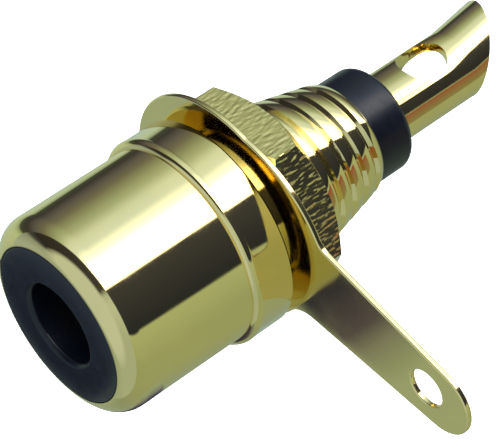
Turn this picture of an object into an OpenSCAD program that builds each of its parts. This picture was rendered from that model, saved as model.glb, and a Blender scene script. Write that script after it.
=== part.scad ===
// RCA chassis socket with its solder tag and hexagon nut.
// The axis runs along Y: the barrel points to -Y and the solder scoop to +Y.
// The origin is on the axis, in the plane of the flange's rear face, which seats on the panel.
// All lengths are in millimetres. Angles are measured in the XZ plane, from +X towards +Z.

/* [Barrel] */
// Outside diameter of the barrel, which the plug's outer ring grips
barrel_d = 8.3; // [8.0:0.05:8.6]
// Length from the flange's rear face to the front of the barrel
front_len = 7.7; // [7.0:0.1:11]
// Inside diameter of the barrel, where the insulators sit
mouth_d = 6.64; // [6.2:0.02:6.8]
// Radius of the rounded nose
nose_r = 1.0; // [0.85:0.05:1.2]

/* [Bead and flange] */
// Diameter of the flange
flange_d = 8.84; // [8.8:0.04:10]
// Thickness of the flange with its bead
flange_t = 1.88; // [1.4:0.04:2.2]
// Thickness of the rolled bead round the flange's front edge
bead_t = 0.56; // [0.4:0.02:0.7]
// Height of the bead above the flange
bead_proud = 0.1; // [0.04:0.02:0.14]
// Chamfer round the flange's rear edge
flange_chamfer = 0.1; // [0.05:0.01:0.2]

/* [Shank] */
// Outside diameter of the threaded shank
shank_d = 6.35; // [6.2:0.05:6.5]
// Length of the shank behind the flange
shank_len = 6.6; // [6:0.1:9]
// Length of the tapered lead-in at the shank's end
lead_len = 3.3; // [2:0.1:3.6]
// Diameter at the narrow end of the lead-in
lead_d = 5.0; // [4.9:0.05:5.4]
// Chamfer at the shank's rear edge
end_chamfer = 0.16; // [0.06:0.02:0.16]
// Bore through the shank, for the rear insulator
shank_bore_d = 4.56; // [4.3:0.02:4.56]
// Wall between the inner shoulder and the flange's rear face
web_t = 1.0; // [0.7:0.05:1.6]

/* [Insulators] */
// Radial gap of the insulators in the metal and of the contact in the insulators
push_gap = 0.02; // [0.01:0.01:0.04]
// Hole for the plug's centre pin
pin_hole_d = 3.4; // [3.3:0.05:3.8]
// Chamfer round the pin hole
pin_hole_chamfer = 0.15; // [0.05:0.05:0.25]
// Thickness of the front insulator's face
face_t = 1.5; // [0.8:0.05:1.6]
// Room round the spring sleeve for it to open
sleeve_room = 0.25; // [0.15:0.05:0.35]
// Thickness of the rear insulator's flange
rear_flange_t = 1.0; // [0.7:0.05:1.4]
// Length of the rear insulator that stands out of the shank
rear_stand = 1.8; // [1.2:0.1:3]
// Rounding of the rear insulator's end
rear_round = 0.35; // [0.2:0.05:0.45]

/* [Centre contact] */
// Bore of the spring sleeve, which grips a 3.1 to 3.2 mm pin
sleeve_bore_d = 3.2; // [3.0:0.05:3.3]
// Wall of the spring sleeve
sleeve_wall = 0.35; // [0.25:0.05:0.4]
// Depth of the spring sleeve's bore
sleeve_depth = 6.8; // [6:0.05:6.9]
// End gap between the spring sleeve and the front insulator's face
sleeve_end_gap = 0.5; // [0.3:0.05:0.8]
// Width of the sleeve's crossed slots
slot_w = 0.35; // [0.2:0.05:0.5]
// Length of the crossed slots
slot_len = 2.75; // [2:0.05:2.9]
// Diameter of the collar that the insulators hold
collar_d = 5.2; // [4.9:0.1:5.6]
// Thickness of the collar
collar_t = 0.6; // [0.4:0.05:0.9]
// Metal left behind the sleeve's bore
sleeve_floor = 0.5; // [0.3:0.1:1]
// Outside diameter of the solder tail
tail_d = 3.0; // [2.8:0.05:3.3]
// Bore of the solder tail
tail_bore_d = 2.2; // [1.9:0.05:2.3]
// Distance from the rear insulator to the floor of the solder bore
tail_floor = 0.5; // [0.2:0.1:1]

/* [Solder scoop] */
// Distance from the rear insulator to the root of the cut-away half
scoop_root = 2.35; // [1.5:0.05:3]
// Rounding at the root of the cut-away half
scoop_root_r = 1.2; // [0.6:0.1:1.4]
// Direction that the half that is left faces
scoop_turn = 55; // [0:5:355]
// Distance from the rear insulator to the oblique end, on the axis
scoop_end = 5.35; // [4.5:0.05:7]
// Angle of the oblique end across the axis
scoop_slant = 33.7; // [0:0.5:36]
// Length of the flared mouth, up to the scoop's tip
flare_len = 2.3; // [1.5:0.1:2.6]
// Growth in radius of the flared mouth
flare_out = 0.3; // [0.1:0.05:0.4]
// Diameter of the wire hole in the scoop
wire_hole_d = 2.06; // [1.5:0.02:2.1]
// Distance from the rear insulator to the wire hole's centre
wire_hole_at = 2.5; // [1.5:0.05:3]
// Direction of the wire hole, from the axis outwards
wire_hole_turn = 92; // [80:1:110]

/* [Solder tag] */
// Thickness of the tag's sheet
tag_t = 0.25; // [0.2:0.05:0.6]
// How far the loose tag stands off the flange
tag_stand = 0.45; // [0:0.05:1]
// Outside diameter of the tag's ring
ring_d = 9.56; // [9.4:0.02:11]
// Radial room between the shank and the tag's ring
ring_room = 0.2; // [0.1:0.01:0.3]
// Place of the ring's outer circle to the side of its hole
ring_shift_x = -0.24; // [-0.3:0.02:0]
// Place of the ring's outer circle above its hole
ring_shift_z = 0.31; // [0:0.01:0.4]
// Radius of the ring's shoulder, which leads to the tail's upper edge
shoulder_r = 5.0; // [4.8:0.05:5.2]
// Distance of the shoulder's centre from the axis, to the side
shoulder_x = 0.85; // [0.6:0.05:1]
// Distance of the shoulder's centre from the axis, upwards
shoulder_z = -0.1; // [-0.2:0.05:0]
// Direction of the tail
tail_turn = -7; // [-10:0.5:0]
// Height at which the tail's centre line passes over the axis
tail_rise = 0.92; // [0.4:0.02:1]
// Length of the tail along its centre line, from over the axis to its tip
tail_reach = 13.1; // [11:0.1:18]
// Width of the tail at its rounded end
tail_end_w = 3.0; // [2.4:0.05:3.2]
// Angle between each of the tail's edges and its centre line
tail_taper = 4.8; // [0:0.1:6]
// Radius of the hollow under the neck
neck_low_r = 1.4; // [1:0.1:2]
// Radius of the hollow above the neck
neck_high_r = 0.8; // [0.5:0.1:2]
// Diameter of the tail's wire hole
tag_hole_d = 1.56; // [1.2:0.02:1.9]
// Distance from the tail's end to the wire hole's centre
tag_hole_in = 2.14; // [1.8:0.01:3]

/* [Nut] */
// Width across the nut's flats
nut_af = 8.0; // [7.9:0.1:9]
// Thickness of the nut
nut_t = 2.0; // [1.6:0.1:2.6]
// Direction of one of the nut's corners
nut_turn = 4; // [0:1:59]
// Radial running gap of the nut on the shank
thread_gap = 0.02; // [0.01:0.01:0.1]
// Depth of the nut's chamfer, measured along the axis at its corners
nut_chamfer = 0.5; // [0.2:0.05:0.6]

/* [Hidden] */
$fn = 96;
// Overlap of a cutter beyond the face that it cuts
eps = 0.5;
// Overlap of outlines that would only touch
weld = 0.01;

// Radii of the shell
barrel_r = barrel_d / 2;
mouth_r = mouth_d / 2;
flange_r = flange_d / 2;
shank_r = shank_d / 2;
lead_r = lead_d / 2;
shank_bore_r = shank_bore_d / 2;

// Places along the axis
front_y = -front_len;
nose_y = front_y + nose_r;
bead_y = -flange_t + bead_t / 2;
seat_y = -web_t;
split_y = seat_y - rear_flange_t;
collar_y = split_y - collar_t;
sleeve_y = front_y + face_t + sleeve_end_gap;
sleeve_bore_y = sleeve_y + sleeve_depth;
step_y = sleeve_bore_y + sleeve_floor;
rear_y = shank_len + rear_stand;
tail_floor_y = rear_y + tail_floor;
scoop_root_y = rear_y + scoop_root;
scoop_end_y = rear_y + scoop_end;
wire_hole_y = rear_y + wire_hole_at;

// Radii of the insulators and the contact
plug_r = mouth_r - push_gap;
bush_r = shank_bore_r - push_gap;
pin_hole_r = pin_hole_d / 2;
sleeve_bore_r = sleeve_bore_d / 2;
sleeve_r = sleeve_bore_r + sleeve_wall;
room_r = sleeve_r + sleeve_room;
collar_r = collar_d / 2;
tail_r = tail_d / 2;
tail_bore_r = tail_bore_d / 2;
wire_hole_r = wire_hole_d / 2;

// The flared tip of the scoop
tip_r = tail_r + flare_out;
tip_y = scoop_end_y + tip_r * tan(scoop_slant);
flare_y = tip_y - flare_len;

// The solder tag, whose outline is drawn along the tail's centre line
ring_r = ring_d / 2;
ring_hole_r = shank_r + ring_room;
ring_c = tail_frame([ring_shift_x, ring_shift_z]);
shoulder_c = tail_frame([shoulder_x, shoulder_z]);
tail_end_r = tail_end_w / 2;
tail_end_x = tail_reach - tail_end_r;
tag_hole_r = tag_hole_d / 2;
// Distance of the tail's tapered edges from the point where its centre line passes over the axis
edge_far = tail_end_r + tail_end_x * sin(tail_taper);

// The nut
nut_bore_r = shank_r + thread_gap;
nut_corner_r = nut_af / 2 / cos(30);
nut_y = tag_stand + tag_t;

GOLD = [0.83, 0.68, 0.36];
BLACK = [0.06, 0.06, 0.07];

// A point given in X and Z, as seen along the tail's centre line
function tail_frame(p) =
    let (far = p.x, up = p.y - tail_rise)
    [far * cos(tail_turn) + up * sin(tail_turn), up * cos(tail_turn) - far * sin(tail_turn)];

// Direction square to one of the tail's edges, outwards: side is 1 for the upper one, -1 for the lower one
function edge_out(side) = [sin(tail_taper), side * cos(tail_taper)];

// Centre of a hollow of radius r that touches the circle of radius ring about c and one of the tail's edges
function hollow_centre(c, ring, r, side) =
    let (
        out = edge_out(side), along = [cos(tail_taper), -side * sin(tail_taper)],
        reach = ring + r - weld, rise = edge_far + r - weld - out * c
    )
    c + rise * out + sqrt(reach * reach - rise * rise) * along;

// Turns a profile about the Y axis: its x is the radius and its y the place along the axis
module turned() {
    rotate([-90, 0, 0]) rotate_extrude() children();
}

// A rectangle of a turned profile, between two radii and two places along the axis
module band(r0, r1, y0, y1) {
    translate([r0, y0]) square([r1 - r0, y1 - y0]);
}

// A plate of an outline drawn in X and Z, from y0 to y0 + t
module plate(y0, t) {
    translate([0, y0 + t, 0]) rotate([90, 0, 0]) linear_extrude(t) children();
}

// The barrel with its rounded nose
module barrel_profile() {
    translate([barrel_r - nose_r, nose_y]) circle(nose_r);
    band(0, barrel_r - nose_r, front_y, nose_y);
    band(0, barrel_r, nose_y, bead_y);
}

// The flange: a rolled bead round its front edge, a chamfer round its rear edge
module flange_profile() {
    translate([flange_r + bead_proud - bead_t / 2, bead_y]) circle(bead_t / 2);
    polygon([
        [0, bead_y], [flange_r, bead_y], [flange_r, -flange_chamfer],
        [flange_r - flange_chamfer, 0], [0, 0]
    ]);
}

// The shank: straight, then the tapered lead-in and its end chamfer
module shank_profile() {
    polygon([
        [0, 0], [shank_r, 0], [shank_r, shank_len - lead_len],
        [lead_r, shank_len - 2 * end_chamfer], [lead_r - end_chamfer, shank_len], [0, shank_len]
    ]);
}

module shell() {
    color(GOLD) turned() difference() {
        union() {
            barrel_profile();
            flange_profile();
            shank_profile();
        }
        band(0, mouth_r, front_y - eps, seat_y);
        band(0, shank_bore_r, seat_y - eps, shank_len + eps);
    }
}

// The black disc and bush in the barrel: it closes the mouth and holds the contact's collar
module front_insulator() {
    color(BLACK) turned() difference() {
        band(0, plug_r, front_y, split_y);
        polygon([
            [0, front_y - eps], [pin_hole_r + pin_hole_chamfer + eps, front_y - eps],
            [pin_hole_r, front_y + pin_hole_chamfer], [pin_hole_r, front_y + face_t], [0, front_y + face_t]
        ]);
        band(0, room_r, front_y + face_t, collar_y + eps);
        band(0, collar_r + push_gap, collar_y, split_y + eps);
    }
}

// The black bush in the shank: its flange seats on the shell's inner shoulder
module rear_insulator() {
    color(BLACK) turned() difference() {
        union() {
            band(0, plug_r, split_y, seat_y);
            band(0, bush_r, seat_y, rear_y - rear_round);
            band(0, bush_r - rear_round, rear_y - rear_round, rear_y);
            translate([bush_r - rear_round, rear_y - rear_round]) circle(rear_round);
        }
        band(0, sleeve_r + push_gap, split_y - eps, step_y);
        band(0, tail_r + push_gap, step_y - eps, rear_y + eps);
    }
}

// Turned blank of the contact: spring sleeve, collar, and the tail with its flared mouth
module contact_blank() {
    turned() difference() {
        union() {
            band(0, sleeve_r, sleeve_y, step_y);
            band(0, collar_r, collar_y, split_y);
            polygon([[0, step_y - eps], [tail_r, step_y - eps], [tail_r, flare_y], [tip_r, tip_y], [0, tip_y]]);
        }
        band(0, sleeve_bore_r, sleeve_y - eps, sleeve_bore_y);
        polygon([
            [0, tail_floor_y], [tail_bore_r, tail_floor_y], [tail_bore_r, flare_y],
            [tail_bore_r + flare_out, tip_y], [tail_bore_r + flare_out, tip_y + eps], [0, tip_y + eps]
        ]);
    }
}

// The two crossed slots that make the sleeve's front end springy
module sleeve_slots() {
    for (turn = [45, 135])
        rotate([0, turn, 0])
            translate([-sleeve_r - eps, sleeve_y - eps, -slot_w / 2])
                cube([2 * (sleeve_r + eps), slot_len + eps, slot_w]);
}

// Cutter that takes away one half of the tail, with a rounded root
module scoop_side_cut() {
    rotate([0, -scoop_turn, 0]) rotate([0, 0, 90])
        translate([0, 0, -tip_r - eps]) linear_extrude(2 * (tip_r + eps)) {
            translate([scoop_root_y + scoop_root_r, 0])
                square([tip_y + eps - scoop_root_y - scoop_root_r, tip_r + eps]);
            translate([scoop_root_y, scoop_root_r])
                square([tip_y + eps - scoop_root_y, tip_r + eps]);
            translate([scoop_root_y + scoop_root_r, scoop_root_r]) circle(scoop_root_r);
        }
}

// Cutter for the oblique end, longest on the side of the half's upper edge
module scoop_end_cut() {
    reach = tip_r + eps;
    rise = reach * tan(scoop_slant);
    rotate([0, -scoop_turn, 0])
        translate([reach, 0, 0]) rotate([0, -90, 0]) linear_extrude(2 * reach)
            polygon([
                [-reach, scoop_end_y - rise], [reach, scoop_end_y + rise],
                [reach, tip_y + reach], [-reach, tip_y + reach]
            ]);
}

// Cutter for the wire hole through one wall of the scoop
module wire_hole_cut() {
    translate([0, wire_hole_y, 0]) rotate([0, 90 - wire_hole_turn, 0]) cylinder(r = wire_hole_r, h = tip_r + eps);
}

// One turned piece: the slotted spring sleeve grips the plug's pin, the scoop takes the wire
module centre_contact() {
    color(GOLD) difference() {
        contact_blank();
        sleeve_slots();
        scoop_side_cut();
        scoop_end_cut();
        wire_hole_cut();
    }
}

// The tail, tapered to its rounded end
module tail_outline() {
    root = edge_far / cos(tail_taper);
    tip = tail_end_r * edge_out(1);
    polygon([[0, -root], [tail_end_x + tip.x, -tip.y], [tail_end_x + tip.x, tip.y], [0, root]]);
    translate([tail_end_x, 0]) circle(tail_end_r + weld);
}

// The corner between a circle about c and one of the tail's edges, rounded by a hollow
module neck_outline(c, ring, r, side) {
    hollow = hollow_centre(c, ring, r, side);
    inside = hollow - (r + eps) * edge_out(side);
    difference() {
        polygon(side > 0 ? [c, inside, hollow] : [c, hollow, inside]);
        translate(hollow) circle(r);
    }
}

// The ring's shoulder, above the tail's centre line only
module shoulder_outline() {
    intersection() {
        translate(shoulder_c) circle(shoulder_r);
        translate([-ring_d, 0]) square([2 * ring_d, ring_d]);
    }
}

// Outline of the tag: ring, shoulder, tail and the hollows that lead from one into the other
module tag_outline() {
    translate(ring_c) circle(ring_r);
    shoulder_outline();
    tail_outline();
    neck_outline(ring_c, ring_r, neck_low_r, -1);
    neck_outline(shoulder_c, shoulder_r, neck_high_r, 1);
}

// Stamped earth tag, loose between the flange and the nut
module solder_tag() {
    color(GOLD) plate(tag_stand, tag_t) translate([0, tail_rise]) rotate(tail_turn) difference() {
        tag_outline();
        translate(tail_frame([0, 0])) circle(ring_hole_r);
        translate([tail_reach - tag_hole_in, 0]) circle(tag_hole_r);
    }
}

// Double-chamfered hexagon nut, seated on the tag
module hex_nut() {
    flat_r = nut_af / 2;
    // The chamfer cones start at the flats' radius on both faces and reach past the corners
    rim = nut_corner_r + eps;
    slope = nut_chamfer / (nut_corner_r - flat_r);
    color(GOLD) difference() {
        intersection() {
            plate(nut_y, nut_t) rotate(nut_turn) circle(nut_corner_r, $fn = 6);
            turned() polygon([
                [0, nut_y], [flat_r, nut_y], [rim, nut_y + slope * (rim - flat_r)],
                [rim, nut_y + nut_t - slope * (rim - flat_r)], [flat_r, nut_y + nut_t], [0, nut_y + nut_t]
            ]);
        }
        turned() band(0, nut_bore_r, nut_y - eps, nut_y + nut_t + eps);
    }
}

shell();
front_insulator();
rear_insulator();
centre_contact();
solder_tag();
hex_nut();
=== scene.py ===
# %% [markdown]
# A gold-plated phono socket, dressed for its portrait
#
# The socket is six pieces of hardware: a turned shell with a threaded shank, two black moulded
# bushes, a centre contact with a solder scoop, an earth tag and a hexagon nut. The frame already
# holds them at their true size. This lesson models the pieces again with enough detail to be
# looked at closely, gives each a procedural finish, and sets up a small studio round them.
# Nearly all of it is polished metal, so most of the picture is made of what the metal reflects.

# %% Load the frame
from math import acos, atan2, cos, degrees, pi, radians, sin, sqrt, tan

import bpy
from mathutils import Matrix, Vector


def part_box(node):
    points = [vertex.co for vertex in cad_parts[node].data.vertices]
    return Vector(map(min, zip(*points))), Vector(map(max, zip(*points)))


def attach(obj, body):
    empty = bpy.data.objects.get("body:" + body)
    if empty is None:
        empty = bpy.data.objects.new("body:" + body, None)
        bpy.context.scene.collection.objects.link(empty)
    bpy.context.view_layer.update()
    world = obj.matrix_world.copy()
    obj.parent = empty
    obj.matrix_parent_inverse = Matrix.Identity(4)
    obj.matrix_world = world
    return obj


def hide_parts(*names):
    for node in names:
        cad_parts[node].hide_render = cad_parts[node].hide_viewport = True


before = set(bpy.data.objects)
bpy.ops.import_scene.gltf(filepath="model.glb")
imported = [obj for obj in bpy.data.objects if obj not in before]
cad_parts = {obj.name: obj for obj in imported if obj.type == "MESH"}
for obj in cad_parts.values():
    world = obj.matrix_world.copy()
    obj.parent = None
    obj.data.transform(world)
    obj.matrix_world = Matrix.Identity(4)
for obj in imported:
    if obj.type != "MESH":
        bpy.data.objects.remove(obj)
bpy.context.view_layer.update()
MM = 0.001
print("nodes:", sorted(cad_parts))

# %% [markdown]
# The camera comes first, because every later choice is judged through it. The photograph looks
# down on the socket from its front right, from about a hand's breadth away, with a long lens.
# A camera can be placed by eye, but then nothing quite lines up. This one was fitted to the
# round edges in the photograph, whose diameters are known. The fit gives a place, a direction and
# a focal length in pixels of the picture, so the camera gets just these, and no point to aim at.

# %% Camera
CAMERA_AT = Vector((50.22, -43.62, 72.57)) * MM
LOOK = Vector((-0.5016, 0.4533, -0.7368))
PICTURE_W = 500
FOCAL_PX = 2600
SENSOR_W = 36
NEAR, FAR = 0.005, 10


def make_camera():
    """A camera that looks along LOOK with no roll."""
    lens = bpy.data.cameras.new("camera")
    lens.sensor_width = SENSOR_W
    lens.lens = FOCAL_PX * SENSOR_W / PICTURE_W
    lens.clip_start = NEAR
    lens.clip_end = FAR
    camera = bpy.data.objects.new("camera", lens)
    bpy.context.scene.collection.objects.link(camera)
    camera.location = CAMERA_AT
    camera.rotation_mode = "QUATERNION"
    camera.rotation_quaternion = LOOK.to_track_quat("-Z", "Y")
    bpy.context.scene.camera = camera
    return camera


camera = make_camera()
print("lens in mm:", round(camera.data.lens, 1))

# %% [markdown]
# Four of the six pieces are round: two come off a lathe and two out of a round mould. Such a
# shape can be stacked from cylinders, or made by a Screw modifier from half of its outline. Here
# an outline is drawn and spun about the Y axis, because then one list of points holds every step
# and round of the piece. The outline starts as a plane shrunk to one point, and the point is
# extruded from place to place. Spinning leaves a seam and may turn the shape inside out, so its
# doubles are merged and its normals recalculated.

# %% Helpers for turning
TURN_STEPS = 256
MERGE = 0.0004 * MM


def mode(name):
    """Object or edit mode, if that isn't the mode already."""
    if bpy.context.object and bpy.context.object.mode != name:
        bpy.ops.object.mode_set(mode=name)


def only(piece):
    """The piece is active and the one object selected."""
    mode("OBJECT")
    bpy.ops.object.select_all(action="DESELECT")
    bpy.context.view_layer.objects.active = piece
    piece.select_set(True)


def start(name, primitive, **how):
    """A new primitive, selected alone, under its own name."""
    mode("OBJECT")
    bpy.ops.object.select_all(action="DESELECT")
    primitive(**how)
    piece = bpy.context.object
    piece.name = piece.data.name = name
    return piece


def clean(piece):
    """Doubles merged and normals turned outwards."""
    only(piece)
    mode("EDIT")
    bpy.ops.mesh.select_all(action="SELECT")
    bpy.ops.mesh.remove_doubles(threshold=MERGE)
    bpy.ops.mesh.normals_make_consistent(inside=False)
    mode("OBJECT")


def arc(centre, r, start_deg, end_deg, count):
    """Points along an arc about a centre, both ends included."""
    turns = [radians(start_deg + (end_deg - start_deg) * i / count) for i in range(count + 1)]
    return [(centre[0] + r * cos(t), centre[1] + r * sin(t)) for t in turns]


def walked(name, points):
    """A line from point to point, left selected in edit mode."""
    piece = start(name, bpy.ops.mesh.primitive_plane_add, size=MM)
    mode("EDIT")
    bpy.ops.mesh.merge(type="CENTER")
    walk = [Vector(point) for point in points]
    bpy.ops.transform.translate(value=walk[0])
    for here, there in zip(walk, walk[1:]):
        bpy.ops.mesh.extrude_vertices_move(TRANSFORM_OT_translate={"value": there - here})
    bpy.ops.mesh.select_all(action="SELECT")
    return piece


def turned(name, outline, steps=TURN_STEPS, loop=True):
    """An outline of (radius, y) points spun about the Y axis; open ends lie on the axis."""
    closing = outline[:1] if loop else []
    piece = walked(name, [(r, y, 0) for r, y in [*outline, *closing]])
    bpy.ops.mesh.spin(steps=steps, angle=2 * pi, center=(0, 0, 0), axis=(0, 1, 0))
    clean(piece)
    return piece


print("steps round a turned piece:", TURN_STEPS)

# %% [markdown]
# The shell is the plated brass body, one turned piece. Its outline has the rounded nose, the
# barrel that the plug grips, the flange with a small rolled bead round its front edge, and the
# shank with its tapered lead-in. The rounds are arcs of points in the outline and not bevels,
# because each has its own radius. The bead stands hardly proud of the flange: in the photograph
# it is one thin line of light, and a fuller bead would show two.

# %% Shell blank
FRONT_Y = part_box("front_insulator")[0].y
SHANK_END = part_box("shell")[1].y
BARREL_R = 4.15 * MM
MOUTH_R = 3.32 * MM
NOSE_R = 1.0 * MM
NOSE_STEPS = 20
FLANGE_R = 4.42 * MM
FLANGE_T = 1.88 * MM
FLANGE_CHAMFER = 0.1 * MM
BEAD_R = 0.28 * MM
BEAD_PROUD = 0.02 * MM
BEAD_STEPS = 24
SHANK_R = 3.175 * MM
SHANK_BORE_R = 2.28 * MM
SEAT_Y = -1.0 * MM
LEAD_LEN = 3.3 * MM
LEAD_R = 2.5 * MM
END_CHAMFER = 0.16 * MM


def nose_arc():
    """The nose's arc from the mouth's edge to the barrel's side."""
    centre = (BARREL_R - NOSE_R, FRONT_Y + NOSE_R)
    return arc(centre, NOSE_R, -degrees(acos((MOUTH_R - centre[0]) / NOSE_R)), 0, NOSE_STEPS)


def bead_arc():
    """The rolled bead round the flange's front edge, from the barrel's side to the flange's."""
    centre = (FLANGE_R + BEAD_PROUD - BEAD_R, -FLANGE_T + BEAD_R)
    foot = degrees(acos((BARREL_R - centre[0]) / BEAD_R))
    top = degrees(acos((FLANGE_R - centre[0]) / BEAD_R))
    return arc(centre, BEAD_R, -foot, top, BEAD_STEPS)


def shell_outline():
    """Outside from the mouth to the shank's end, then back through the bores."""
    straight = SHANK_END - LEAD_LEN
    return [
        *nose_arc(),
        *bead_arc(),
        (FLANGE_R, -FLANGE_CHAMFER), (FLANGE_R - FLANGE_CHAMFER, 0), (SHANK_R, 0),
        (SHANK_R, straight), (LEAD_R, SHANK_END - 2 * END_CHAMFER), (LEAD_R - END_CHAMFER, SHANK_END),
        (SHANK_BORE_R, SHANK_END), (SHANK_BORE_R, SEAT_Y), (MOUTH_R, SEAT_Y),
    ]


shell = turned("socket_shell", shell_outline())
print("shell blank:", len(shell.data.polygons), "faces")

# %% [markdown]
# A turned blank still needs its cuts, its broken edges and its shading. A cut can be modelled
# face by face, but a boolean with a cutter does what the machine did, and the exact solver keeps
# thin slivers right. A real edge is never sharp: a small bevel gives it the thin highlight that
# makes it look made. Weighted normals then keep the broad faces evenly shaded beside their bevels.

# %% Helpers for cutting and smoothing
BEVEL_ANGLE = 35


def boolean(piece, cutter, operation="DIFFERENCE"):
    """Cuts the cutter away, or keeps only what both share; the cutter is used up."""
    only(piece)
    bpy.ops.object.modifier_add(type="BOOLEAN")
    tool = piece.modifiers[-1]
    tool.object = cutter
    tool.operation = operation
    tool.solver = "EXACT"
    bpy.ops.object.modifier_apply(modifier=tool.name)
    bpy.data.objects.remove(cutter)
    clean(piece)


def soften(piece, width, segments=2):
    """Breaks sharp edges with a small bevel."""
    only(piece)
    bpy.ops.object.modifier_add(type="BEVEL")
    edge = piece.modifiers[-1]
    edge.width = width
    edge.segments = segments
    edge.limit_method = "ANGLE"
    edge.angle_limit = radians(BEVEL_ANGLE)
    edge.use_clamp_overlap = True
    bpy.ops.object.modifier_apply(modifier=edge.name)


def smooth(piece, angle=30):
    """Smooth shading that leaves sharp edges crisp and broad faces flat."""
    only(piece)
    bpy.ops.object.shade_smooth_by_angle(angle=radians(angle))
    bpy.ops.object.modifier_add(type="WEIGHTED_NORMAL")
    weigh = piece.modifiers[-1]
    weigh.keep_sharp = True
    bpy.ops.object.modifier_apply(modifier=weigh.name)


print("edges sharper than", BEVEL_ANGLE, "degrees get a bevel")

# %% [markdown]
# The thread on the shank is a quarter inch across, with 32 turns to the inch. A bump could fake
# it from afar, but here it shows against the white. So it is cut as on a lathe: the tool is a
# small V that the Screw modifier sweeps along a helix, one pitch a turn. Past the straight part
# of the shank a Simple Deform modifier draws the helix in with the lead-in's taper, so that the
# groove keeps its depth down to the end.

# %% Thread
PITCH = 0.794 * MM
THREAD_DEPTH = 0.2 * MM
THREAD_HALF = 0.15 * MM
THREAD_NIB = 0.04 * MM
THREAD_OVER = 0.1 * MM
THREAD_START = 0.57 * MM
THREAD_TURNS = 8
HELIX_STEPS = 96
SHELL_BREAK = 0.03 * MM


def helix_tool():
    """A V-shaped tool swept along a right-hand helix, point towards the axis."""
    root, top = SHANK_R - THREAD_DEPTH, SHANK_R + THREAD_OVER
    grow = THREAD_HALF * (THREAD_DEPTH + THREAD_OVER) / THREAD_DEPTH
    corners = [(root, -THREAD_NIB), (root, THREAD_NIB), (top, grow), (top, -grow)]
    piece = walked("thread_tool", [(x, y + THREAD_START, 0) for x, y in corners])
    bpy.ops.mesh.edge_face_add()
    mode("OBJECT")
    bpy.ops.object.modifier_add(type="SCREW")
    screw = piece.modifiers[-1]
    screw.axis = "Y"
    screw.angle = 2 * pi
    screw.screw_offset = PITCH
    screw.iterations = THREAD_TURNS
    screw.steps = screw.render_steps = HELIX_STEPS
    screw.use_merge_vertices = False
    bpy.ops.object.modifier_apply(modifier=screw.name)
    mode("EDIT")
    bpy.ops.mesh.select_all(action="SELECT")
    bpy.ops.mesh.fill_holes(sides=len(corners))
    clean(piece)
    return piece


def taper(piece, y_from, y_to, shrink):
    """Draws the piece in round the Y axis, from nothing at y_from to the full shrink at y_to."""
    place = bpy.data.objects.new("taper_start", None)
    bpy.context.scene.collection.objects.link(place)
    place.location = (0, y_from, 0)
    bpy.context.view_layer.update()
    only(piece)
    low = min(v.co.y for v in piece.data.vertices)
    high = max(v.co.y for v in piece.data.vertices)
    bpy.ops.object.modifier_add(type="SIMPLE_DEFORM")
    draw = piece.modifiers[-1]
    draw.deform_method = "TAPER"
    draw.deform_axis = "Y"
    draw.origin = place
    draw.factor = shrink
    draw.limits = ((y_from - low) / (high - low), min((y_to - low) / (high - low), 1))
    bpy.ops.object.modifier_apply(modifier=draw.name)
    bpy.data.objects.remove(place)


thread_tool = helix_tool()
taper(thread_tool, SHANK_END - LEAD_LEN, SHANK_END - 2 * END_CHAMFER, LEAD_R / SHANK_R - 1)
boolean(shell, thread_tool)
soften(shell, SHELL_BREAK)
smooth(shell)
print("threaded shell:", len(shell.data.polygons), "faces")

# %% [markdown]
# The two black mouldings hold the centre contact away from the shell. They are round, so they are
# turned like the metal. The front one closes the barrel with a plain disc, and its hole for the
# plug's pin has a chamfer. The rear one is a bush in the shank, whose end stands out with a soft
# edge, as a moulding leaves its tool. Each sits in the shell with a gap too small to see, so that
# their round faces don't lie in the same place. The contact's collar is held between the two, and
# so the places along the contact are named here already.

# %% Insulators
bush_low, bush_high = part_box("rear_insulator")
contact_low, contact_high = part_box("centre_contact")
REAR_Y = bush_high.y
SPLIT_Y = bush_low.y
COLLAR_Y = SPLIT_Y - 0.6 * MM
COLLAR_R = contact_high.x
SLEEVE_Y = contact_low.y
SLEEVE_BORE_R = 1.6 * MM
SLEEVE_R = SLEEVE_BORE_R + 0.35 * MM
SLEEVE_FLOOR_Y = SLEEVE_Y + 6.8 * MM
STEP_Y = SLEEVE_FLOOR_Y + 0.5 * MM
ROOM_R = SLEEVE_R + 0.25 * MM
TAIL_R = 1.5 * MM
FACE_T = 1.5 * MM
PIN_HOLE_R = 1.7 * MM
PIN_CHAMFER = 0.15 * MM
REAR_ROUND = 0.35 * MM
REAR_STEPS = 10
PUSH_GAP = 0.02 * MM
PLUG_R = MOUTH_R - PUSH_GAP
BUSH_R = SHANK_BORE_R - PUSH_GAP
BUSH_BREAK = 0.05 * MM


def front_outline():
    """From the pin hole's edge over the disc's face, round the bush and back inside."""
    back = FRONT_Y + FACE_T
    return [
        (PIN_HOLE_R, back), (PIN_HOLE_R, FRONT_Y + PIN_CHAMFER), (PIN_HOLE_R + PIN_CHAMFER, FRONT_Y),
        (PLUG_R, FRONT_Y), (PLUG_R, SPLIT_Y), (COLLAR_R + PUSH_GAP, SPLIT_Y),
        (COLLAR_R + PUSH_GAP, COLLAR_Y), (ROOM_R, COLLAR_Y), (ROOM_R, back),
    ]


def rear_outline():
    """From the flange on the inner shoulder to the rounded end, then back through the bores."""
    round_at = (BUSH_R - REAR_ROUND, REAR_Y - REAR_ROUND)
    return [
        (PLUG_R, SPLIT_Y), (PLUG_R, SEAT_Y), (BUSH_R, SEAT_Y),
        *arc(round_at, REAR_ROUND, 0, 90, REAR_STEPS),
        (TAIL_R + PUSH_GAP, REAR_Y), (TAIL_R + PUSH_GAP, STEP_Y),
        (SLEEVE_R + PUSH_GAP, STEP_Y), (SLEEVE_R + PUSH_GAP, SPLIT_Y),
    ]


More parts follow.
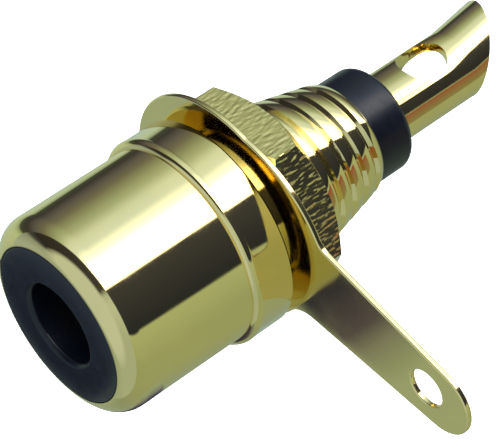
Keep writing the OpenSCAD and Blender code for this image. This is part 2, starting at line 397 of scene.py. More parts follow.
front_bush = turned("front_bush", front_outline())
rear_bush = turned("rear_bush", rear_outline())
for bush in (front_bush, rear_bush):
    soften(bush, BUSH_BREAK, segments=3)
    smooth(bush)
print("insulators:", len(front_bush.data.polygons), "and", len(rear_bush.data.polygons), "faces")

# %% [markdown]
# The pieces to come also need cutters and blanks that aren't turned. A flat outline pushed up
# into a block makes most of them, and a cylinder makes the drills and punches. Both are moved
# into place before they cut, and settled, which means that the object's place and turn go into
# its mesh. After that every mesh has the same origin, and the procedural textures line up.

# %% Helpers for cutters
HOLE_STEPS = 96
BORE_STEPS = 192


def settle(piece):
    """Moves the object's place, turn and scale into its mesh."""
    only(piece)
    bpy.ops.object.transform_apply(location=True, rotation=True, scale=True)


def turn_about_y(piece, turn_deg):
    """Turns the piece about the Y axis by degrees, from +X towards +Z."""
    piece.rotation_mode = "XYZ"
    piece.rotation_euler = (0, -radians(turn_deg), 0)
    settle(piece)


def push_up(name, outline, depth):
    """A flat outline of (x, y) points, filled and extruded both ways along Z."""
    piece = walked(name, [(x, y, -depth) for x, y in [*outline, outline[0]]])
    bpy.ops.mesh.remove_doubles(threshold=MERGE)
    bpy.ops.mesh.edge_face_add()
    bpy.ops.mesh.extrude_region_move(TRANSFORM_OT_translate={"value": (0, 0, 2 * depth)})
    clean(piece)
    return piece


def rod(name, sides, r, length, middle, turn=(0, 0, 0)):
    """A cylinder in its place, or a prism if its sides are few."""
    piece = start(
        name, bpy.ops.mesh.primitive_cylinder_add, vertices=sides, radius=r, depth=length,
        location=middle, rotation=turn,
    )
    settle(piece)
    return piece


print("sides of a drill:", HOLE_STEPS, "and of a bore:", BORE_STEPS)

# %% [markdown]
# The centre contact takes the plug's pin in front and the wire behind. Its scoop could be pulled
# into shape by hand, but cuts in the maker's order give the same edges, each where it belongs.
# So it starts as a turned blank too, from the spring sleeve to the flared tail. Both ends of the
# outline lie on the axis, because the blank is solid between its two bores. How far the flare
# reaches depends on the oblique cut that comes later, so that cut's place is named here.

# %% Contact blank
TAIL_BORE_R = 1.1 * MM
TAIL_FLOOR_Y = REAR_Y + 0.5 * MM
FLARE_OUT = 0.3 * MM
TIP_R = TAIL_R + FLARE_OUT
SCOOP_END_Y = REAR_Y + 5.35 * MM
SCOOP_SLANT = 33.7
TIP_Y = SCOOP_END_Y + TIP_R * tan(radians(SCOOP_SLANT))
FLARE_Y = TIP_Y - 2.3 * MM
CONTACT_STEPS = 160


def contact_outline():
    """From the floor of the sleeve's bore, round the outside, to the floor of the solder bore."""
    mouth = TAIL_BORE_R + FLARE_OUT
    return [
        (0, SLEEVE_FLOOR_Y), (SLEEVE_BORE_R, SLEEVE_FLOOR_Y), (SLEEVE_BORE_R, SLEEVE_Y),
        (SLEEVE_R, SLEEVE_Y), (SLEEVE_R, COLLAR_Y), (COLLAR_R, COLLAR_Y), (COLLAR_R, SPLIT_Y),
        (SLEEVE_R, SPLIT_Y), (SLEEVE_R, STEP_Y), (TAIL_R, STEP_Y), (TAIL_R, FLARE_Y),
        (TIP_R, TIP_Y), (mouth, TIP_Y), (TAIL_BORE_R, FLARE_Y), (TAIL_BORE_R, TAIL_FLOOR_Y),
        (0, TAIL_FLOOR_Y),
    ]


contact = turned("contact_pin", contact_outline(), steps=CONTACT_STEPS, loop=False)
print("contact blank:", len(contact.data.polygons), "faces")

# %% [markdown]
# The sleeve has to give way to the plug's pin and spring back, and two crossed slots turn its
# front end into four fingers. They are inside the socket and hardly show, but they are cheap to
# make: one thin block, pushed across the whole sleeve, cuts two slots at once.

# %% Spring slots
SLOT_W = 0.35 * MM
SLOT_LEN = 2.75 * MM
SLOT_TURNS = (45, 135)
OVER = 0.5 * MM


def slot_tool(turn_deg):
    """One straight slot across the sleeve's front end."""
    reach = SLEEVE_R + OVER
    low, high = SLEEVE_Y - OVER, SLEEVE_Y + SLOT_LEN
    corners = [(-reach, low), (reach, low), (reach, high), (-reach, high)]
    piece = push_up("slot_tool", corners, SLOT_W / 2)
    turn_about_y(piece, turn_deg)
    return piece


for turn in SLOT_TURNS:
    boolean(contact, slot_tool(turn))
print("slotted contact:", len(contact.data.polygons), "faces")

# %% [markdown]
# The wire is soldered into the scoop at the other end. Two cuts make it from the tube: one takes
# half of the tail away and ends in a rounded root, as a milling cutter leaves it, and the other
# takes off the end obliquely. Both cutters are outlines pushed up along Z and turned about the
# axis to the side that they take away.

# %% Solder scoop
SCOOP_ROOT_Y = REAR_Y + 2.35 * MM
SCOOP_ROOT_R = 1.2 * MM
SCOOP_ROOT_STEPS = 16
SCOOP_TURN = 55


def scoop_side_tool():
    """Takes away the half of the tail that faces away from SCOOP_TURN, with a rounded root."""
    reach = TIP_R + OVER
    end = TIP_Y + OVER
    centre = (SCOOP_ROOT_R, SCOOP_ROOT_Y + SCOOP_ROOT_R)
    root = [(-x, y) for x, y in arc(centre, SCOOP_ROOT_R, 180, 270, SCOOP_ROOT_STEPS)]
    piece = push_up("side_tool", [(0, end), *root, (-reach, SCOOP_ROOT_Y), (-reach, end)], reach)
    turn_about_y(piece, SCOOP_TURN)
    return piece


def scoop_end_tool():
    """Takes off the end obliquely: the outline lies across the half, longest at one edge."""
    reach = TIP_R + OVER
    rise = reach * tan(radians(SCOOP_SLANT))
    far = TIP_Y + 2 * reach
    corners = [(-reach, SCOOP_END_Y - rise), (reach, SCOOP_END_Y + rise), (reach, far), (-reach, far)]
    piece = push_up("end_tool", corners, reach)
    turn_about_y(piece, SCOOP_TURN + 90)
    return piece


boolean(contact, scoop_side_tool())
boolean(contact, scoop_end_tool())
print("contact with its scoop:", len(contact.data.polygons), "faces")

# %% [markdown]
# The wire can also be hooked through a hole in the scoop's wall. Its drill starts on the axis, so
# that it goes through one wall only. With the last cut done, every edge of the contact is broken
# by a bevel, and the whole piece is smoothed.

# %% Wire hole
WIRE_HOLE_R = 1.03 * MM
WIRE_HOLE_Y = REAR_Y + 2.5 * MM
WIRE_HOLE_TURN = 92
CONTACT_BREAK = 0.035 * MM


def wire_drill():
    """A drill that stands on the axis and points out through one wall of the tail."""
    depth = TIP_R + OVER
    piece = rod("wire_drill", HOLE_STEPS, WIRE_HOLE_R, depth, (0, WIRE_HOLE_Y, depth / 2))
    turn_about_y(piece, WIRE_HOLE_TURN - 90)
    return piece


boolean(contact, wire_drill())
soften(contact, CONTACT_BREAK)
smooth(contact)
print("contact:", len(contact.data.polygons), "faces")

# %% [markdown]
# The earth tag is stamped from quarter-millimetre sheet and lies loose on the shank. Its outline
# could be traced by hand. It is worked out instead from the few arcs that a toolmaker would
# draw, because the hollows of the neck then run into the ring and the tail without a kink. The
# points are worked out as seen along the tail's centre line, where the tail is symmetrical, and
# turned back into place at the end.

# %% Tag outline
RING_R = 4.78 * MM
RING_AT = (-0.24 * MM, 0.31 * MM)
RING_STEPS = 180
SHOULDER_R = 5.0 * MM
SHOULDER_AT = (0.85 * MM, -0.1 * MM)
SHOULDER_STEPS = 60
TAIL_TURN = -7
TAIL_RISE = 0.92 * MM
TAIL_REACH = 13.1 * MM
TAIL_TAPER = 4.8
TAIL_END_R = 1.5 * MM
TAIL_END_STEPS = 64
NECK_LOW_R = 1.4 * MM
NECK_LOW_STEPS = 24
NECK_HIGH_R = 0.8 * MM
NECK_HIGH_STEPS = 16


def tail_frame(x, z):
    """A point given in X and Z, as seen along the tail's centre line."""
    return Matrix.Rotation(-radians(TAIL_TURN), 2) @ Vector((x, z - TAIL_RISE))


def bearing(origin, target):
    """Direction in degrees from one point to another."""
    return degrees(atan2(target.y - origin.y, target.x - origin.x))


def hollow_centre(c, ring, r, side):
    """Centre of a hollow of radius r that touches a circle about c and one of the tail's edges."""
    out = Vector((sin(radians(TAIL_TAPER)), side * cos(radians(TAIL_TAPER))))
    along = Vector((abs(out.y), -side * out.x))
    rise = TAIL_END_R + (TAIL_REACH - TAIL_END_R) * out.x + r - out.dot(c)
    return c + rise * out + sqrt((ring + r) ** 2 - rise ** 2) * along


def top_crossing(ring, shoulder):
    """Where the ring's circle crosses the shoulder's on top."""
    apart = (ring - shoulder).length
    share = (SHOULDER_R ** 2 - RING_R ** 2 + apart ** 2) / (2 * apart)
    towards = (ring - shoulder) / apart
    sideways = Vector((towards.y, -towards.x))
    return shoulder + share * towards + sqrt(SHOULDER_R ** 2 - share ** 2) * sideways


def tag_outline():
    """Anticlockwise from the shoulder: ring, lower hollow, tail, upper hollow."""
    ring, shoulder = tail_frame(*RING_AT), tail_frame(*SHOULDER_AT)
    low = hollow_centre(ring, RING_R, NECK_LOW_R, -1)
    high = hollow_centre(shoulder, SHOULDER_R, NECK_HIGH_R, 1)
    cross = top_crossing(ring, shoulder)
    end = (TAIL_REACH - TAIL_END_R, 0)
    edge = 90 - TAIL_TAPER
    from_high, to_cross = bearing(shoulder, high), bearing(shoulder, cross)
    points = [
        *arc(shoulder, SHOULDER_R, from_high, to_cross, SHOULDER_STEPS)[:-1],
        *arc(ring, RING_R, bearing(ring, cross), 360 + bearing(ring, low), RING_STEPS),
        *arc(low, NECK_LOW_R, bearing(low, ring), 180 - edge, NECK_LOW_STEPS)[1:],
        *arc(end, TAIL_END_R, -edge, edge, TAIL_END_STEPS),
        *arc(high, NECK_HIGH_R, 180 + edge, 360 + bearing(high, shoulder), NECK_HIGH_STEPS)[:-1],
    ]
    back = Matrix.Rotation(radians(TAIL_TURN), 2)
    return [back @ Vector(p) + Vector((0, TAIL_RISE)) for p in points]


outline_of_tag = tag_outline()
print("tag outline:", len(outline_of_tag), "points")

# %% [markdown]
# The press does the rest in one stroke. Here the outline is pushed up to the sheet's thickness,
# stood upright, and punched twice, for the shank and for the wire. Stamping leaves one soft edge
# and one with a burr, and plating rounds both, so all edges get the same small round. The faces
# that meet the flange and the nut when the mechanism moves stay a hair inside their true place.

# %% Solder tag
HAIR = 0.005 * MM
tag_low, tag_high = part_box("solder_tag")
TAG_Y = tag_low.y + HAIR
TAG_T = tag_high.y - tag_low.y - 2 * HAIR
RING_HOLE_R = SHANK_R + 0.2 * MM
TAG_HOLE_R = 0.78 * MM
TAG_HOLE_IN = 2.14 * MM
TAG_BREAK = 0.08 * MM


def punch(piece, x, z, r, steps):
    """Punches a round hole through the sheet."""
    tool = rod("punch", steps, r, 4 * TAG_T, (x, TAG_Y, z), turn=(radians(90), 0, 0))
    boolean(piece, tool)


def make_tag():
    """The outline pushed up to the sheet's thickness, stood upright and punched twice."""
    piece = push_up("earth_tag", outline_of_tag, TAG_T / 2)
    piece.rotation_mode = "XYZ"
    piece.rotation_euler = (radians(90), 0, 0)
    piece.location = (0, TAG_Y + TAG_T / 2, 0)
    settle(piece)
    punch(piece, 0, 0, RING_HOLE_R, BORE_STEPS)
    out, turn = TAIL_REACH - TAG_HOLE_IN, radians(TAIL_TURN)
    punch(piece, out * cos(turn), TAIL_RISE + out * sin(turn), TAG_HOLE_R, HOLE_STEPS)
    soften(piece, TAG_BREAK, segments=4)
    smooth(piece)
    return piece


tag = make_tag()
print("tag:", len(tag.data.polygons), "faces")

# %% [markdown]
# The nut is cut from drawn hexagon bar, 8 mm across its flats. The bar is a cylinder with six
# sides. Its flats need many small faces, because they will be displaced, and a Subdivision
# modifier would spend as many on the ends. So only two groups of edges are subdivided: first
# those of the two ends, which run across the flats, and then all that run along the bar.

# %% Hexagon bar
nut_low, nut_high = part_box("hex_nut")
NUT_Y = nut_low.y + HAIR
NUT_T = nut_high.y - NUT_Y
NUT_FLAT_R = 4.0 * MM
NUT_CORNER_R = NUT_FLAT_R / cos(radians(30))
NUT_TURN = 4
CUTS_ACROSS = 160
CUTS_ALONG = 32


def subdivide_edges(bar, cuts, along):
    """Cuts up the bar's long edges, or the edges of its two ends."""
    mode("EDIT")
    bpy.ops.mesh.select_all(action="DESELECT")
    mode("OBJECT")
    places = [v.co for v in bar.data.vertices]
    for edge in bar.data.edges:
        ends = [places[i].y for i in edge.vertices]
        edge.select = (abs(ends[0] - ends[1]) > NUT_T) == along
    mode("EDIT")
    bpy.ops.mesh.select_mode(type="EDGE")
    bpy.ops.mesh.subdivide(number_cuts=cuts)
    bpy.ops.mesh.select_mode(type="VERT")
    mode("OBJECT")


def hex_bar():
    """A length of bar that reaches past both of the nut's faces, with its flats subdivided."""
    length, middle = NUT_T + 2 * OVER, (0, NUT_Y + NUT_T / 2, 0)
    bar = rod("hexagon_nut", 6, NUT_CORNER_R, length, middle, turn=(radians(-90), 0, 0))
    turn_about_y(bar, NUT_TURN - 90)
    subdivide_edges(bar, CUTS_ACROSS, along=False)
    subdivide_edges(bar, CUTS_ALONG, along=True)
    return bar


nut = hex_bar()
print("bar:", len(nut.data.polygons), "faces")

# %% [markdown]
# The bar carries the broken axial ridges of a worn die. A bump would do from afar, but the ridges
# also notch the edges between the flats, so they are real relief: a Displace modifier presses a
# noise into the bar. The noise is read in the coordinates of an empty that is scaled to a ridge's
# width and length, and that is what stretches it along the axis. It only presses inwards, so the
# nut gets no wider.

# %% Die marks
RIDGE_W = 0.085 * MM
RIDGE_LEN = 0.42 * MM
RIDGE_DEPTH = 0.036 * MM


def press_ridges(bar):
    """Presses a stretched noise into the bar, never outwards."""
    marks = bpy.data.textures.new("die_marks", "CLOUDS")
    marks.noise_scale = 1.0
    marks.noise_depth = 3
    stretch = bpy.data.objects.new("die_frame", None)
    bpy.context.scene.collection.objects.link(stretch)
    stretch.scale = (RIDGE_W, RIDGE_LEN, RIDGE_W)
    bpy.context.view_layer.update()
    only(bar)
    bpy.ops.object.modifier_add(type="DISPLACE")
    press = bar.modifiers[-1]
    press.texture = marks
    press.texture_coords = "OBJECT"
    press.texture_coords_object = stretch
    press.mid_level = 1.0
    press.strength = RIDGE_DEPTH
    bpy.ops.object.modifier_apply(modifier=press.name)
    bpy.data.objects.remove(stretch)


press_ridges(nut)
print("ridges up to", round(RIDGE_DEPTH / MM, 3), "mm deep")

# %% [markdown]
# The nut is chamfered on both faces, which on a hexagon gives the curved edges that every nut
# has. They can't be drawn in the outline of the bar, and a bevel would make them straight. A
# turned envelope with two cones does it as the lathe did, if only what it shares with the bar is
# kept. The bore is drilled last.

# %% Hexagon nut
NUT_BORE_R = SHANK_R + 0.02 * MM
NUT_CHAMFER = 0.5 * MM
NUT_SMOOTH_ANGLE = 50
ENVELOPE_STEPS = 128


def nut_envelope():
    """A turned blank whose cones chamfer the nut's corners on both faces."""
    rim = NUT_CORNER_R + OVER
    slope = NUT_CHAMFER / (NUT_CORNER_R - NUT_FLAT_R)
    back = slope * (rim - NUT_FLAT_R)
    low, high = NUT_Y, NUT_Y + NUT_T
    front_half = [(0, low), (NUT_FLAT_R, low), (rim, low + back)]
    rear_half = [(rim, high - back), (NUT_FLAT_R, high), (0, high)]
    return turned("nut_envelope", front_half + rear_half, steps=ENVELOPE_STEPS, loop=False)


def nut_drill():
    """A drill along the axis, longer than the nut."""
    return rod("nut_drill", BORE_STEPS, NUT_BORE_R, 3 * NUT_T, (0, NUT_Y, 0), turn=(radians(90), 0, 0))


boolean(nut, nut_envelope(), "INTERSECT")
boolean(nut, nut_drill())
smooth(nut, angle=NUT_SMOOTH_ANGLE)
print("nut:", len(nut.data.polygons), "faces")

# %% [markdown]
# A finish is a tree of shader nodes, and making one takes the same few lines each time. Two short
# helpers keep each finish down to the lines that say something about the metal or the plastic.

# %% Helpers for nodes


def new_material(name):
    """A material with a Principled shader, and its nodes and links to build on."""
    material = bpy.data.materials.new(name)
    material.use_nodes = True
    tree = material.node_tree
    return material, tree, tree.nodes["Principled BSDF"]


def add_node(tree, kind, **values):
    """A node with its settings; a name that isn't a setting is an input socket."""
    node = tree.nodes.new(kind)
    for key, value in values.items():
        if hasattr(node, key):
            setattr(node, key, value)
        else:
            node.inputs[key.replace("_", " ")].default_value = value
    return node


# %% [markdown]
# The patterns in the finishes come from noise. Photographs of metal could be wrapped round the
# pieces, but they would bring their own light and stretch on the curves. Noise in object
# coordinates has no seams, and it is the same size on every piece. Its factor seldom reaches 0
# or 1, so it is spread to the range that is wanted before it drives a colour or a roughness.

# %% Helpers for patterns


def object_place(tree, stretch):
    """Object coordinates, stretched along the axes."""
    place = add_node(tree, "ShaderNodeTexCoord")
    mapping = add_node(tree, "ShaderNodeMapping")
    mapping.inputs["Scale"].default_value = stretch
    tree.links.new(place.outputs["Object"], mapping.inputs["Vector"])
    return mapping.outputs["Vector"]


def noise(tree, scale, detail=3, stretch=(1, 1, 1)):
    """A noise's factor, at a scale in repeats a metre."""
    texture = add_node(tree, "ShaderNodeTexNoise", Scale=scale, Detail=detail)
    tree.links.new(object_place(tree, stretch), texture.inputs["Vector"])
    return texture.outputs["Fac"]


def spread(tree, value, low, high, in_low=0.3, in_high=0.7):
    """Maps a value to another range; 0.3 to 0.7 is where a noise mostly lies."""
    change = add_node(tree, "ShaderNodeMapRange")
    ends = {"From Min": in_low, "From Max": in_high, "To Min": low, "To Max": high}
    for socket, number in ends.items():
        change.inputs[socket].default_value = number
    tree.links.new(value, change.inputs["Value"])
    return change.outputs["Result"]


def bump(tree, height, distance, below=None):
    """Relief from a height, on top of another relief."""
    relief = add_node(tree, "ShaderNodeBump", Strength=1, Distance=distance)
    tree.links.new(height, relief.inputs["Height"])
    if below:
        tree.links.new(below, relief.inputs["Normal"])
    return relief.outputs["Normal"]


def blend_colours(tree, factor, a, b):
    """A mix by a factor; each colour is three numbers or another node's output."""
    mix = add_node(tree, "ShaderNodeMix", data_type="RGBA")
    tree.links.new(factor, mix.inputs["Factor"])
    for socket, colour in zip([s for s in mix.inputs if s.type == "RGBA"], (a, b)):
        if isinstance(colour, tuple):
            socket.default_value = (*colour, 1)
        else:
            tree.links.new(colour, socket)
    return [s for s in mix.outputs if s.type == "RGBA"][0]


# %% [markdown]
# Gold plating is a metal with a strong colour of its own and hardly any roughness. What keeps it
# from looking like a computer's gold is what the maker left on it: fine rings from turning, and a
# soft mottle where the plating is a little duller. The rings run round the Y axis, so their
# pattern depends on the place along Y alone. Each of the four metal pieces gets its own share
# of them, because a turned shell, a stamped tag and a drawn nut don't shine alike.

# %% Gold plating
GOLD = (0.90, 0.72, 0.30)
GOLD_WORN = (0.82, 0.68, 0.30)
WEAR_SCALE = 350
DULL_SCALE = 900
MOTTLE_SCALE = 700
RING_STRETCH = (30, 9000, 30)


def gold_material(name, dull, rings, mottle):
    """Plated metal: dull is its lowest and highest roughness, rings and mottle are relief in mm."""
    material, tree, shader = new_material(name)
    shader.inputs["Metallic"].default_value = 1
    wear = spread(tree, noise(tree, WEAR_SCALE, detail=4), 0, 1)
    tree.links.new(blend_colours(tree, wear, GOLD, GOLD_WORN), shader.inputs["Base Color"])
    tree.links.new(spread(tree, noise(tree, DULL_SCALE), *dull), shader.inputs["Roughness"])
    relief = bump(tree, noise(tree, 1, detail=2, stretch=RING_STRETCH), rings * MM)
    relief = bump(tree, noise(tree, MOTTLE_SCALE, detail=2), mottle * MM, below=relief)
    tree.links.new(relief, shader.inputs["Normal"])
    return material


shell_gold = gold_material("gold_turned", dull=(0.04, 0.09), rings=0.0003, mottle=0.0010)
contact_gold = gold_material("gold_contact", dull=(0.06, 0.14), rings=0.0004, mottle=0.0015)
tag_gold = gold_material("gold_stamped", dull=(0.07, 0.13), rings=0.0, mottle=0.0012)
nut_gold = gold_material("gold_drawn", dull=(0.10, 0.22), rings=0.0, mottle=0.003)
print("gold finishes:", [m.name for m in (shell_gold, contact_gold, tag_gold, nut_gold)])

# %% [markdown]
# The black parts are moulded plastic with a satin skin. It isn't quite black: it has a blue cast,
# and a very fine grain breaks up its gloss. Plain black with one roughness would look like a
# hole in the picture, so both the colour and the roughness wander a little.

# %% Black moulding
BLACK = (0.003, 0.004, 0.010)
BLACK_PALE = (0.006, 0.008, 0.016)
CLOUD_SCALE = 900
SKIN_SCALE = 2500
GRAIN_SCALE = 6000
SATIN = (0.26, 0.38)
GRAIN_DEPTH = 0.002 * MM


def moulding_material():
    """Navy-black satin plastic with a fine grain."""
    material, tree, shader = new_material("black_moulding")
    cloud = spread(tree, noise(tree, CLOUD_SCALE, detail=4), 0, 1)
    tree.links.new(blend_colours(tree, cloud, BLACK, BLACK_PALE), shader.inputs["Base Color"])
    tree.links.new(spread(tree, noise(tree, SKIN_SCALE), *SATIN), shader.inputs["Roughness"])
    shader.inputs["IOR"].default_value = 1.5
    shader.inputs["Specular IOR Level"].default_value = 0.35
    grain = bump(tree, noise(tree, GRAIN_SCALE, detail=2), GRAIN_DEPTH)
    tree.links.new(grain, shader.inputs["Normal"])
    return material


black = moulding_material()
print("moulding:", black.name)

# %% [markdown]
# Every piece now takes the place of its CAD node and rides on that node's body, so that it moves
# when the mechanism does. Nothing is placed by hand, because the meshes were modelled where the
# CAD has them. Each line names a piece, its node, its body and its finish.

# %% Pieces in their places


def finish_piece(piece, node, body, material):
    """The piece takes the place of its CAD node and rides on that node's body."""
    piece.data.materials.clear()
    piece.data.materials.append(material)
    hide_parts(node)
    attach(piece, body)
    low, high = piece.bound_box[0], piece.bound_box[6]
    faces = len(piece.data.polygons)
    print(f"{piece.name}: {faces} faces, y {low[1] / MM:.2f} to {high[1] / MM:.2f} mm")


finish_piece(shell, "shell", "socket", shell_gold)
finish_piece(front_bush, "front_insulator", "socket", black)
finish_piece(rear_bush, "rear_insulator", "socket", black)
finish_piece(contact, "centre_contact", "socket", contact_gold)
finish_piece(tag, "solder_tag", "tag", tag_gold)
finish_piece(nut, "hex_nut", "nut", nut_gold)

# %% [markdown]
# Polished metal shows the room that it stands in. Lamps would light it but leave it black in
# between, so the studio is drawn round it as a sky instead. Seen along the socket's axis it has a
# big white softbox overhead, a black card to the right of it that gives the barrel its hard dark
# band, a grey-green fill from the card round the underside, and a dark side on the left. Ahead
# of the socket the sky is the pale table, with the dark room above it. What a barrel mirrors
# depends on the angle round its axis, so the colours are given by that angle in degrees, from
# +X towards +Z.

# %% Sky colours
# Round the axis, as the barrel, the flange, the shank and the tag see it
SIDE_STOPS = [
    (-180, (0.05, 0.05, 0.07)), (-170, (0.06, 0.08, 0.08)), (-167, (0.34, 0.46, 0.40)),
    (-160, (0.52, 0.68, 0.60)), (-146, (0.50, 0.64, 0.55)), (-118, (0.36, 0.47, 0.42)),
    (-100, (0.30, 0.38, 0.33)), (-60, (0.36, 0.45, 0.32)), (-30, (0.38, 0.47, 0.34)),
    (4.5, (0.46, 0.57, 0.42)), (6.5, (0.025, 0.03, 0.05)), (58, (0.055, 0.06, 0.09)),
    (59.5, (4, 4, 4)), (86, (4, 4, 4)), (94, (1.7, 1.9, 2.4)),
    (106, (0.84, 1.05, 1.35)), (118, (0.76, 0.94, 1.1)), (130, (0.46, 0.60, 0.57)),
    (143, (0.30, 0.37, 0.33)), (155, (0.18, 0.19, 0.20)), (167, (0.12, 0.125, 0.18)),
    (180, (0.05, 0.05, 0.07)),
]
# Ahead of the socket and to its sides, as the nose sees it
FRONT_STOPS = [
    (-180, (0.07, 0.08, 0.12)), (-172, (0.30, 0.38, 0.45)), (-150, (0.40, 0.52, 0.62)),
    (-118, (0.36, 0.47, 0.42)), (-90, (0.44, 0.56, 0.58)), (0, (0.45, 0.57, 0.60)),
    (40, (0.56, 0.70, 0.80)), (54, (0.50, 0.62, 0.70)), (62, (0.06, 0.06, 0.08)),
    (170, (0.03, 0.03, 0.04)), (180, (0.07, 0.08, 0.12)),
]
AHEAD = (0.60, 0.74, 0.86)
# Where along -Y the side passes into the front, and the front into what lies dead ahead
FRONT_FROM, FRONT_TO = -0.39, -0.42
AHEAD_FROM, AHEAD_TO = -0.74, -0.84
print("sky:", len(SIDE_STOPS), "colours round the side and", len(FRONT_STOPS), "round the front")

# %% [markdown]
# A world shader turns those colours into a sky. A picture of a studio would do the same, but
# colour ramps stay sharp where the card's edge has to be sharp. A ramp's colours are meant to
# stay below 1 and the softbox is four times as bright, so they go in as shares of the peak, and
# the background's strength brings them back. The camera sees plain white instead of this sky.

# %% Studio sky
SKY_PEAK = 4.0


def direction_parts(tree, direction):
    """The angle round the Y axis as a share of a full turn, from -X over -Z, and the part along Y."""
    split = add_node(tree, "ShaderNodeSeparateXYZ")
    tree.links.new(direction, split.inputs["Vector"])
    angle = add_node(tree, "ShaderNodeMath", operation="ARCTAN2")
    tree.links.new(split.outputs["Z"], angle.inputs[0])
    tree.links.new(split.outputs["X"], angle.inputs[1])
    return spread(tree, angle.outputs["Value"], 0, 1, -pi, pi), split.outputs["Y"]


def colour_ramp(tree, factor, stops, peak=1):
    """Colours at their places between the first stop and the last, as shares of the peak."""
    ramp = add_node(tree, "ShaderNodeValToRGB")
    band = ramp.color_ramp
    first, last = stops[0][0], stops[-1][0]
    for i, (at, colour) in enumerate(stops):
        share = (at - first) / (last - first)
        stop = band.elements[i] if i < 2 else band.elements.new(share)
        stop.position = share
        stop.color = (*[c / peak for c in colour], 1)
    tree.links.new(factor, ramp.inputs["Fac"])
    return ramp.outputs["Color"]


def sky_colours(tree):
    """The side, the front and what lies dead ahead, each passing into the next."""
    place = add_node(tree, "ShaderNodeTexCoord")
    turn, along = direction_parts(tree, place.outputs["Generated"])
    side = colour_ramp(tree, turn, SIDE_STOPS, SKY_PEAK)
    front = colour_ramp(tree, turn, FRONT_STOPS, SKY_PEAK)
    ahead = tuple(c / SKY_PEAK for c in AHEAD)
    seen = blend_colours(tree, spread(tree, along, 0, 1, FRONT_FROM, FRONT_TO), side, front)
    return blend_colours(tree, spread(tree, along, 0, 1, AHEAD_FROM, AHEAD_TO), seen, ahead)


def studio_sky():
    """The sky as the metal sees it; the camera sees plain white."""
    world = bpy.data.worlds.new("studio")
    bpy.context.scene.world = world
    world.use_nodes = True
    tree = world.node_tree
    plain = tree.nodes["Background"]
    plain.inputs["Color"].default_value = (1, 1, 1, 1)
    plain.inputs["Strength"].default_value = 1
    lit = add_node(tree, "ShaderNodeBackground", Strength=SKY_PEAK)
    tree.links.new(sky_colours(tree), lit.inputs["Color"])
    rays = add_node(tree, "ShaderNodeLightPath")
    choose = add_node(tree, "ShaderNodeMixShader")
    tree.links.new(rays.outputs["Is Camera Ray"], choose.inputs["Fac"])
    tree.links.new(lit.outputs["Background"], choose.inputs[1])
    tree.links.new(plain.outputs["Background"], choose.inputs[2])
    tree.links.new(choose.outputs["Shader"], tree.nodes["World Output"].inputs["Surface"])
    return world


sky = studio_sky()
bpy.context.scene.view_settings.view_transform = "Standard"
print("sky:", sky.name)

# %% [markdown]
# Three cards stand near the socket. A photographer uses such cards to shade one part of a shiny
# thing and not the next, and a place in the sky couldn't do it, because every piece sees the
# whole sky. Two are painted shadow: dark glowing sheets under the socket in place of its own
# shadow on a table, one darkening the root of the tag's tail and the other the black disc in
# front. The third is a warm one beside the thread and the scoop. The camera doesn't see them,
# only the pieces do. Each glows in colours that change along one axis, and the first number of a
# stop is its place on that axis in mm.

# %% Cards
# Painted shadow under the tag's tail: dark where the socket's shadow would lie, pale beyond it
SHADOW_STOPS = [
    (-8, (0.03, 0.03, 0.05)), (0.5, (0.035, 0.038, 0.07)), (2.8, (0.09, 0.085, 0.14)),
    (3.9, (0.22, 0.26, 0.28)), (5.1, (0.29, 0.38, 0.34)), (6.0, (0.36, 0.47, 0.42)),
]
# Painted shadow ahead of the black disc: dark next to it, paler further ahead
DISC_SHADOW_STOPS = [
    (-19, (0.36, 0.45, 0.52)), (-14.5, (0.24, 0.30, 0.38)), (-12.5, (0.06, 0.08, 0.13)),
    (-8.6, (0.04, 0.05, 0.09)),
]
WARM_STOPS = [
    (-16, (0.26, 0.28, 0.17)), (-9, (0.28, 0.23, 0.14)), (-3, (0.30, 0.19, 0.12)),
    (0, (0.34, 0.14, 0.11)), (2.2, (0.26, 0.08, 0.08)),
]
X, Y, Z = range(3)


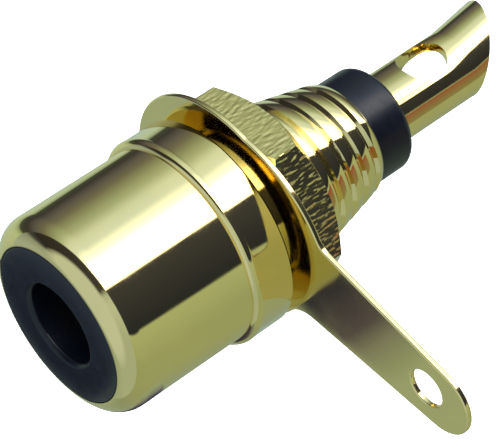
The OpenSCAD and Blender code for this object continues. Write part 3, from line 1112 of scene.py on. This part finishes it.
def glow_material(name, axis, stops):
    """A light whose colour changes along one axis, with its stops at places in mm."""
    material, tree, _ = new_material(name)
    split = add_node(tree, "ShaderNodeSeparateXYZ")
    place = add_node(tree, "ShaderNodeTexCoord")
    tree.links.new(place.outputs["Object"], split.inputs["Vector"])
    along = spread(tree, split.outputs[axis], 0, 1, stops[0][0] * MM, stops[-1][0] * MM)
    glow = add_node(tree, "ShaderNodeEmission")
    tree.links.new(colour_ramp(tree, along, stops), glow.inputs["Color"])
    tree.links.new(glow.outputs["Emission"], tree.nodes["Material Output"].inputs["Surface"])
    return material


def card(name, axis, stops, low, high):
    """A card between two corners in mm; it stands upright where they have the same X."""
    low, high = Vector(low) * MM, Vector(high) * MM
    size = high - low
    upright = size.x == 0
    piece = start(
        name, bpy.ops.mesh.primitive_plane_add, size=1, location=(low + high) / 2,
        rotation=(0, radians(90) if upright else 0, 0),
    )
    piece.scale = (size.z if upright else size.x, size.y, 1)
    settle(piece)
    piece.data.materials.append(glow_material(name, axis, stops))
    piece.visible_camera = False
    piece.visible_diffuse = False
    piece.visible_shadow = False
    return piece


# The first two cards are painted shadow, the warm one is a light
cards = [
    card("shadow_card", X, SHADOW_STOPS, (-8, -6.2, -8), (6, -3.3, -8)),
    card("disc_shadow_card", Y, DISC_SHADOW_STOPS, (-12, -19, -8), (-1, -8.6, -8)),
    card("warm_card", Z, WARM_STOPS, (30, 14.5, -16), (30, 40, 2.2)),
]
print("cards:", [piece.name for piece in cards])

# %% [markdown]
# The floor is a plain pale sheet far below the socket, too far for a shadow. The white background
# would do for this one view, but a sheet is a floor from every side. It is left out of the
# reflections, because the sky already holds the table.

# %% Floor
FLOOR_Z = -40 * MM
FLOOR_SIZE = 4
PAPER = (0.9, 0.9, 0.9)
PAPER_ROUGH = 0.9
PAPER_GLOW = 0.9


def paper_material():
    """White paper that glows a little, so that it stays evenly white."""
    material, tree, shader = new_material("paper")
    shader.inputs["Base Color"].default_value = (*PAPER, 1)
    shader.inputs["Roughness"].default_value = PAPER_ROUGH
    shader.inputs["Emission Color"].default_value = (1, 1, 1, 1)
    shader.inputs["Emission Strength"].default_value = PAPER_GLOW
    return material


def pale_floor():
    """A wide sheet that only the camera sees."""
    sheet = start("floor", bpy.ops.mesh.primitive_plane_add, size=FLOOR_SIZE, location=(0, 0, FLOOR_Z))
    sheet.data.materials.append(paper_material())
    sheet.visible_glossy = False
    sheet.visible_diffuse = False
    return sheet


floor = pale_floor()
print(f"{floor.name} at z {FLOOR_Z / MM:.0f} mm")
